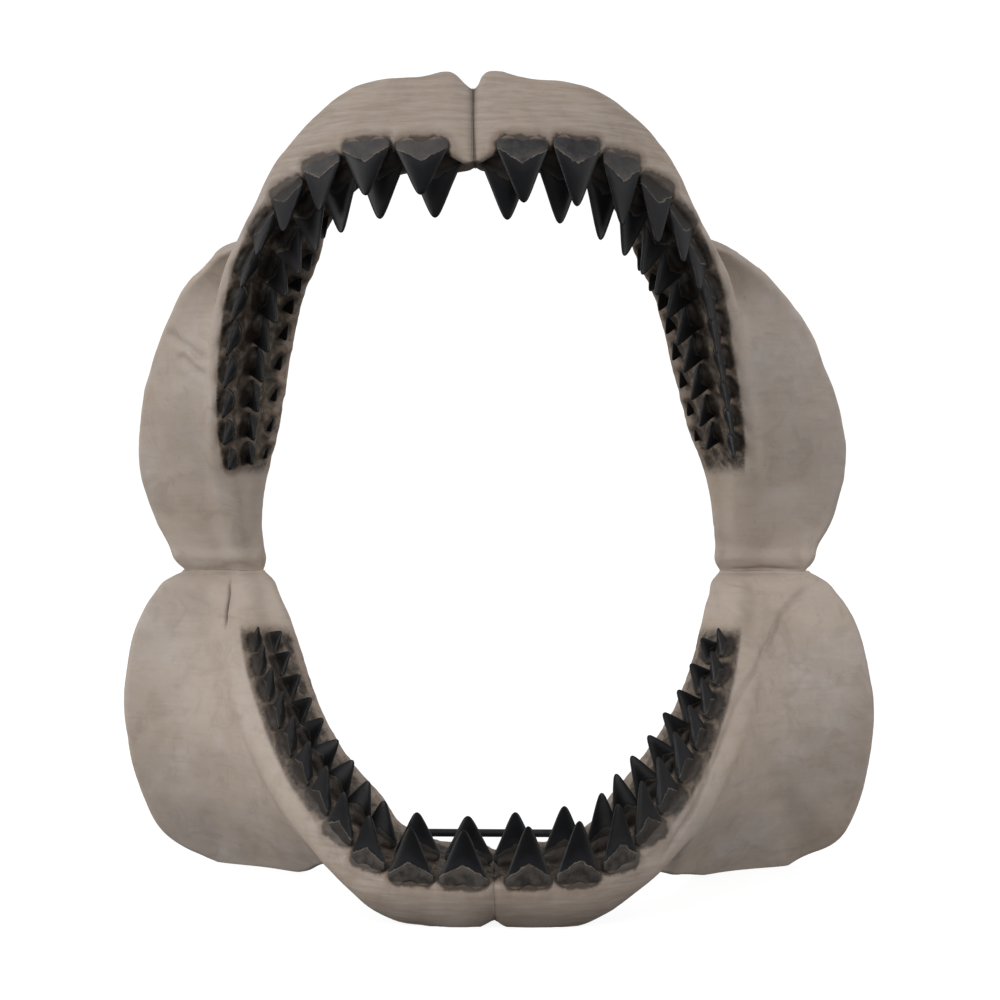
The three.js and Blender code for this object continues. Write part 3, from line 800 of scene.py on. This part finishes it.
class Graph:
    """A node material under construction."""

    def __init__(self, name):
        self.material = bpy.data.materials.new(name)
        self.material.use_nodes = True
        self.tree = self.material.node_tree
        self.shader = self.tree.nodes["Principled BSDF"]

    def link(self, value, socket):
        if isinstance(value, bpy.types.NodeSocket):
            self.tree.links.new(value, socket)
        else:
            socket.default_value = value

    def node(self, kind, **settings):
        made = self.tree.nodes.new(kind)
        for key, value in settings.items():
            setattr(made, key, value)
        return made

    def attribute(self, name, output="Fac"):
        return self.node("ShaderNodeAttribute", attribute_name=name).outputs[output]

    def height(self):
        split = self.node("ShaderNodeSeparateXYZ")
        self.link(self.node("ShaderNodeTexCoord").outputs["Object"], split.inputs[0])
        return split.outputs["Z"]

    def place(self, scale):
        coord = self.node("ShaderNodeTexCoord").outputs["Object"]
        mapping = self.node("ShaderNodeMapping")
        self.link(coord, mapping.inputs["Vector"])
        mapping.inputs["Scale"].default_value = scale
        return mapping.outputs["Vector"]

    def noise(self, scale, detail=3.0, rough=0.55, stretch=(1, 1, 1), distortion=0.0):
        made = self.node("ShaderNodeTexNoise")
        self.link(self.place(stretch), made.inputs["Vector"])
        set_inputs(made, {"Scale": scale, "Detail": detail, "Roughness": rough, "Distortion": distortion})
        return made.outputs["Fac"]

    def math(self, operation, a, b=0.0, clamp=False):
        made = self.node("ShaderNodeMath", operation=operation, use_clamp=clamp)
        self.link(a, made.inputs[0])
        self.link(b, made.inputs[1])
        return made.outputs[0]

    def ramp(self, value, low, high, out_low=0.0, out_high=1.0):
        made = self.node("ShaderNodeMapRange", interpolation_type="SMOOTHSTEP")
        self.link(value, made.inputs["Value"])
        set_inputs(made, {"From Min": low, "From Max": high, "To Min": out_low, "To Max": out_high})
        return made.outputs["Result"]

    def mix(self, factor, a, b):
        made = self.node("ShaderNodeMix", data_type="RGBA")
        self.link(factor, made.inputs["Factor"])
        self.link(a, made.inputs[6])
        self.link(b, made.inputs[7])
        return made.outputs[2]

    def layers(self, colour, *paints):
        """Mixes paints over a colour, each as its value goes from one number to another, up to a share."""
        for value, none_at, full_at, share, paint in paints:
            colour = self.mix(self.ramp(value, none_at, full_at, 0.0, share), colour, srgb(*paint))
        return colour

    def total(self, *terms):
        """Sum of values, each times its weight."""
        first, *rest = [self.math("MULTIPLY", value, weight) for value, weight in terms]
        for value in rest:
            first = self.math("ADD", first, value)
        return first

    def bump(self, height, strength, distance):
        made = self.node("ShaderNodeBump")
        set_inputs(made, {"Strength": strength, "Distance": distance})
        self.link(height, made.inputs["Height"])
        return made.outputs["Normal"]

    def finish(self, colour, roughness, normal, **fixed):
        self.link(colour, self.shader.inputs["Base Color"])
        self.link(roughness, self.shader.inputs["Roughness"])
        self.link(normal, self.shader.inputs["Normal"])
        set_inputs(self.shader, {key.replace("_", " "): value for key, value in fixed.items()})
        return self.material


def cast_material():
    """Brushed and clouded paint, creases darkened by stain and painted shade, and gum that darkens towards
    the teeth.
    """
    g = Graph("painted_cast")
    broad = g.noise(2.4, 2.0)
    blotch = g.noise(8.0, 4.0, 0.6)
    strokes = g.noise(4.0, 5.0, 0.62, stretch=(1.0, 1.0, 9.0), distortion=0.5)
    fine_strokes = g.noise(11.0, 4.0, 0.65, stretch=(1.0, 1.0, 11.0), distortion=0.3)
    grain = g.noise(240.0, 2.0, 0.6)
    clouds = g.noise(13.0, 5.0, 0.68, distortion=0.8)
    specks = g.noise(60.0, 3.0, 0.7)
    along = g.attribute("along")
    colour = g.layers(
        srgb(176, 161, 148),
        (broad, 0.36, 0.64, 1.0, (167, 155, 146)),
        (blotch, 0.42, 0.72, 0.6, (160, 144, 128)),
        (blotch, 0.44, 0.3, 0.5, (180, 171, 165)),
        (strokes, 0.48, 0.7, 0.2, (149, 138, 129)),
        (strokes, 0.42, 0.28, 0.18, (186, 175, 166)),
        (fine_strokes, 0.54, 0.72, 0.14, (137, 124, 112)),
        (clouds, 0.5, 0.66, 0.36, (142, 129, 117)),
        (clouds, 0.46, 0.34, 0.25, (184, 170, 156)),
    )
    # Dark and pale strokes show most at the front of the arches.
    brushwork = ((0.5, 0.62, 0.32, (139, 122, 104)), (0.48, 0.38, 0.3, (190, 182, 174)))
    for none_at, full_at, share, paint in brushwork:
        at_front = g.ramp(along, 0.42, 0.22, 0.0, share)
        brushed = g.math("MULTIPLY", g.ramp(fine_strokes, none_at, full_at), at_front)
        colour = g.mix(brushed, colour, srgb(*paint))
    # Specks, and the front of the arches made warmer and darker: partly a warm tint of the paint, partly
    # painted shade.
    colour = g.layers(
        colour,
        (specks, 0.66, 0.74, 0.3, (116, 103, 92)),
        (along, 0.5, 0.2, 0.3, (133, 116, 101)),
    )
    # Darkening from the creases, the seam and the chin: stain, with painted shade in the creases and at the
    # chin.
    stain_and_shade = g.math("MULTIPLY", g.attribute("stain_and_shade"), g.ramp(blotch, 0.3, 0.6, 0.7, 1.0))
    colour = g.mix(stain_and_shade, colour, srgb(88, 78, 70))

    # Gum: tan near the lip, dim deeper in, with pale and dark streaks.
    band = g.attribute("band")
    tan = g.layers(srgb(140, 121, 107), (blotch, 0.35, 0.65, 1.0, (114, 101, 90)))
    dim = g.layers(srgb(96, 86, 76), (g.noise(30.0, 3.0, 0.6), 0.35, 0.65, 1.0, (62, 56, 49)))
    streaks = g.noise(44.0, 4.0, 0.62, stretch=(1.0, 1.0, 0.45), distortion=1.2)
    gum = g.layers(
        g.mix(g.ramp(g.attribute("depth"), 0.3, 0.75), tan, dim),
        (streaks, 0.5, 0.62, 0.6, (136, 123, 108)),
        (streaks, 0.49, 0.38, 0.8, (42, 38, 34)),
    )
    colour = g.mix(g.math("MULTIPLY", band, 0.97), colour, gum)

    # Dark wash with painted shade round each tooth, a warm rim past it, and a painted contact shadow where
    # tooth and gum meet.
    ragged = g.ramp(g.noise(26.0, 4.0, 0.65), 0.3, 0.7, -0.24, 0.24)
    dark = g.ramp(g.math("ADD", g.attribute("wash_and_shade"), ragged), 0.1, 0.8)
    dark = g.math("MULTIPLY", dark, g.ramp(band, 0.05, 0.6))
    colour = g.mix(g.math("MULTIPLY", dark, 0.66), colour, srgb(41, 37, 33))
    gap = g.math("ADD", g.attribute("gap"), g.ramp(g.noise(40.0, 3.0, 0.6), 0.3, 0.7, -2.6, 2.6))
    warm = g.math("MULTIPLY", g.ramp(gap, 22.0, 3.0, 0.0, 0.55), g.math("SUBTRACT", 1.0, dark))
    colour = g.mix(warm, colour, srgb(112, 95, 81))
    # Painted contact shadow along the outline of each root.
    colour = g.layers(colour, (gap, 6.5, 0.0, 0.85, (52, 44, 38)))

    gum_streaks = g.math("MULTIPLY", streaks, band)
    height = g.total((strokes, 0.3), (fine_strokes, 0.25), (clouds, 0.5), (grain, 0.14), (gum_streaks, 2.0))
    roughness = g.ramp(fine_strokes, 0.3, 0.7, 0.52, 0.68)
    return g.finish(colour, roughness, g.bump(height, 0.3, 0.003), Specular_IOR_Level=0.35)


def tooth_material():
    """A mottled root plate under a chevron line, and a dark, glossier crown over it."""
    g = Graph("cast_teeth")
    look = g.node("ShaderNodeSeparateXYZ")
    g.link(g.attribute("look", "Vector"), look.inputs[0])
    kind = g.node("ShaderNodeSeparateXYZ")
    g.link(g.attribute("kind", "Vector"), kind.inputs[0])
    across, over, tall = look.outputs
    chance, row, turned = kind.outputs
    aside = g.ramp(turned, 0.1, 0.6)
    ragged = g.noise(70.0, 3.0, 0.6)
    line = g.math("ADD", over, g.ramp(ragged, 0.3, 0.7, -0.02, 0.02))
    crown = g.ramp(line, -0.014, 0.01)
    patches = g.noise(45.0, 4.0, 0.65)
    clouds = g.noise(16.0, 3.0, 0.6)
    root = g.layers(
        srgb(50, 50, 52),
        (patches, 0.36, 0.66, 1.0, (68, 66, 66)),
        (clouds, 0.42, 0.66, 0.5, (38, 38, 40)),
        (chance, 0.2, 1.0, 0.35, (104, 98, 94)),
    )
    low_jaw = g.ramp(g.height(), 0.75, 0.6)
    mottled = g.layers(srgb(40, 37, 34), (g.noise(55.0, 4.0, 0.6), 0.36, 0.64, 1.0, (73, 66, 59)))
    root = g.mix(g.math("MULTIPLY", low_jaw, 0.75), root, mottled)
    pale = g.math("MULTIPLY", g.ramp(line, -0.15, -0.05), g.ramp(patches, 0.25, 0.6, 0.05, 0.42))
    root = g.mix(pale, root, srgb(90, 84, 79))
    root = g.mix(g.math("MULTIPLY", row, 1.6, clamp=True), root, srgb(46, 42, 38))
    sideways = g.mix(g.ramp(row, 0.1, 0.4), srgb(45, 42, 39), mottled)
    root = g.mix(g.math("MULTIPLY", aside, 0.85), root, sideways)
    faint = g.math("SUBTRACT", 1.0, g.math("MULTIPLY", row, g.math("SUBTRACT", 1.6, aside), clamp=True))
    lip = g.math("MULTIPLY", g.ramp(line, -0.03, -0.012), g.ramp(patches, 0.36, 0.6, 0.1, 0.65))
    root = g.mix(g.math("MULTIPLY", lip, faint), root, srgb(134, 123, 112))
    foot = g.math("MULTIPLY", g.ramp(tall, 0.07, 0.02), g.ramp(patches, 0.3, 0.55, 0.35, 0.85))
    root = g.mix(g.math("MULTIPLY", foot, faint), root, srgb(128, 111, 96))
    # Crown colour: near black with clouds, a painted bluish sheen towards the root end, a painted grey
    # reflection next to the chevron, and a painted highlight lightening the teeth at the sides.
    enamel = g.layers(
        srgb(8, 8, 9),
        (clouds, 0.42, 0.62, 1.0, (13, 14, 16)),
        (tall, 0.75, 0.45, 0.35, (24, 25, 29)),
        (line, 0.22, 0.0, 0.6, (36, 36, 38)),
    )
    enamel = g.mix(g.math("MULTIPLY", aside, 0.6), enamel, srgb(34, 34, 36))
    enamel = g.layers(enamel, (row, 0.6, 0.9, 0.8, (36, 34, 32)))
    colour = g.mix(crown, root, enamel)
    rims = g.math("POWER", g.math("ABSOLUTE", across), 18.0)
    rims = g.math("MULTIPLY", rims, g.ramp(patches, 0.35, 0.6, 0.05, 0.5))
    colour = g.mix(rims, colour, srgb(70, 68, 68))
    scratches = g.noise(38.0, 3.0, 0.6, stretch=(6.0, 6.0, 0.7))
    normal = g.bump(g.total((scratches, 0.35), (patches, 0.5)), 0.22, 0.002)
    roughness = g.mix(crown, (0.66, 0.66, 0.66, 1), (0.42, 0.42, 0.42, 1))
    return g.finish(colour, roughness, normal, Specular_IOR_Level=0.16)


def metal_material(name, colour, worn, metallic, roughness):
    """Painted or bare metal, worn along X."""
    g = Graph(name)
    wear = g.noise(55.0, 4.0, 0.65, stretch=(0.35, 1, 1))
    mixed = g.layers(srgb(*colour), (wear, 0.5, 0.68, 0.6, worn))
    normal = g.bump(g.noise(180.0, 3.0, 0.6), 0.15, 0.001)
    rough = g.ramp(wear, 0.3, 0.7, roughness - 0.08, roughness + 0.12)
    return g.finish(mixed, rough, normal, Metallic=metallic)


# ---- The pieces ------------------------------------------
cast = cast_material()
tooth_look = tooth_material()
HALVES = [("upper", UPPER, "left", -1), ("upper", UPPER, "right", 1),
          ("lower", LOWER, "left", -1), ("lower", LOWER, "right", 1)]
for jaw_name, jaw, side_name, side in HALVES:
    half = Half(jaw, side)
    teeth = jaw_teeth(half)
    made = skin(f"{jaw_name}_{side_name}_skin", half, teeth, RNG)
    made.data.materials.append(cast)
    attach(made, "root")
    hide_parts(f"{jaw_name}_arch_{side_name}", f"{jaw_name}_wing_{side_name}")
    for row_index, row in enumerate(ROWS[: len(jaw["teeth"][side]["inward"])]):
        parts = [tooth_mesh(tooth, RNG) for tooth in teeth if tooth["row"] == row_index]
        points, faces = join_meshes([(p, f) for p, f, _, _ in parts])
        points = np.clip(points, BOX_LOW, BOX_HIGH)
        tooth_row = make_object(f"{jaw_name}_{side_name}_teeth_{row['name']}", points, faces)
        add_attribute(tooth_row.data, "look", np.vstack([look for _, _, look, _ in parts]))
        add_attribute(tooth_row.data, "kind", np.vstack([kind for _, _, _, kind in parts]))
        tooth_row.data.materials.append(tooth_look)
        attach(tooth_row, "root")
        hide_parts(f"{jaw_name}_arch_{side_name}")


def rings_on_x(profile, around):
    """Rings of points round the X axis for a profile of (x, radius). A radius may vary round its ring."""
    angle = 2 * np.pi * np.arange(around) / around
    return np.vstack([
        np.stack([np.full(around, x), r * np.cos(angle), r * np.sin(angle)], -1) for x, r in profile
    ])


BRACE = np.array([0, ROD_Y + DEPTH_SHIFT, ROD_Z], float)
black = metal_material("black_paint", (30, 29, 32), (62, 60, 62), 0.3, 0.42)
steel = metal_material("bare_steel", (150, 150, 150), (105, 100, 96), 1.0, 0.35)
rod_profile = [
    (-ROD_HALF, ROD_RADIUS - ROD_CHAMFER), (-ROD_HALF + ROD_CHAMFER, ROD_RADIUS),
    *[(x, ROD_RADIUS) for x in np.linspace(-ROD_HALF + 12, ROD_HALF - 12, 24)],
    (ROD_HALF - ROD_CHAMFER, ROD_RADIUS), (ROD_HALF, ROD_RADIUS - ROD_CHAMFER),
]
rod_points = rings_on_x(rod_profile, ROD_AROUND) + BRACE
rod = make_object("brace_rod_painted", rod_points, tube_faces(len(rod_profile), ROD_AROUND))
rod.data.materials.append(black)
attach(rod, "root")
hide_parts("brace_rod")


def nut(name, centre):
    """A hexagon nut with chamfered corners and a through bore."""
    around = NUT_AROUND
    angle = 2 * np.pi * np.arange(around) / around
    flat = NUT_RADIUS * math.cos(math.pi / 6)
    hexagon = flat / np.cos((angle + math.pi / 6) % (math.pi / 3) - math.pi / 6)
    bore = ROD_RADIUS + NUT_BORE_GAP
    chamfer = np.minimum(hexagon, flat * 1.02)
    end = NUT_THICKNESS / 2
    loops = [
        (-end, bore), (-end, chamfer), (-end + NUT_CHAMFER, hexagon),
        (end - NUT_CHAMFER, hexagon), (end, chamfer), (end, bore),
    ]
    faces = tube_faces(len(loops), around)[:-2]
    last = (len(loops) - 1) * around
    faces += [(last + i, last + (i + 1) % around, (i + 1) % around, i) for i in range(around)]
    return make_object(name, rings_on_x(loops, around) + centre, faces, smooth=False)


for side_name, side in (("left", -1), ("right", 1)):
    made = nut(f"brace_nut_{side_name}_steel", BRACE + [side * NUT_X, 0, 0])
    made.data.materials.append(steel)
    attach(made, "root")
    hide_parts(f"brace_nut_{side_name}")

# ---- Stage, light and camera -----------------------------
FLOOR_CORNERS = [(-20000, -20000, 0), (20000, -20000, 0), (20000, 40000, 0), (-20000, 40000, 0)]
floor = make_object("floor", FLOOR_CORNERS, [(0, 1, 2, 3)], smooth=False)
g = Graph("pale_floor")
set_inputs(g.shader, {
    "Base Color": (0.25, 0.25, 0.25, 1), "Roughness": 0.9,
    "Emission Color": (1, 1, 1, 1), "Emission Strength": 0.88,
})
floor.data.materials.append(g.material)
floor.visible_diffuse = False
floor.visible_glossy = False

world = bpy.data.worlds.new("studio")
bpy.context.scene.world = world
world.use_nodes = True
nodes, links = world.node_tree.nodes, world.node_tree.links
background = nodes["Background"]
# The camera sees plain white behind the object.
seen = nodes.new("ShaderNodeBackground")
set_inputs(seen, {"Color": (1, 1, 1, 1), "Strength": 1.05})
coord = nodes.new("ShaderNodeTexCoord")
split = nodes.new("ShaderNodeSeparateXYZ")
links.new(coord.outputs["Generated"], split.inputs[0])
sky = nodes.new("ShaderNodeMapRange")
sky.interpolation_type = "SMOOTHSTEP"
# The light from the surroundings grows from the floor's level up to the ceiling's.
set_inputs(sky, {"From Min": -0.55, "From Max": 0.35, "To Min": 0.12, "To Max": 0.62})
links.new(split.outputs["Z"], sky.inputs["Value"])
links.new(sky.outputs["Result"], background.inputs["Strength"])
background.inputs["Color"].default_value = (0.97, 0.98, 1.0, 1)
path = nodes.new("ShaderNodeLightPath")
mixed = nodes.new("ShaderNodeMixShader")
links.new(path.outputs["Is Camera Ray"], mixed.inputs[0])
links.new(background.outputs[0], mixed.inputs[1])
links.new(seen.outputs[0], mixed.inputs[2])
links.new(mixed.outputs[0], nodes["World Output"].inputs["Surface"])


def area_light(name, place, target, size, watts):
    data = bpy.data.lights.new(name, "AREA")
    data.shape = "SQUARE"
    data.size = size
    data.energy = watts
    made = bpy.data.objects.new(name, data)
    bpy.context.scene.collection.objects.link(made)
    made.location = place
    direction = np.array(target, float) - np.array(place, float)
    made.rotation_euler = Vector(direction).to_track_quat("-Z", "Y").to_euler()


LIT_POINT, SOFTBOX = (0, 0, 0.8), 6.5
area_light("key", (-11.6, -7.2, 2.8), LIT_POINT, SOFTBOX, 1240)
area_light("fill", (11.6, -7.2, 3.0), LIT_POINT, SOFTBOX, 675)

PIVOT = np.array([0, 0.212, 0.8435])
YAW = math.radians(1.5)
DISTANCE = 3.75
camera = bpy.data.objects.new("camera", bpy.data.cameras.new("camera"))
bpy.context.scene.collection.objects.link(camera)
camera.location = PIVOT - DISTANCE * np.array([-math.sin(YAW), math.cos(YAW), 0])
camera.rotation_euler = (math.pi / 2, 0, YAW)
camera.data.sensor_width = 36
camera.data.lens = 59.69
camera.data.shift_x = 0.003
camera.data.clip_end = 100
bpy.context.scene.camera = camera
bpy.context.scene.view_settings.view_transform = "Standard"
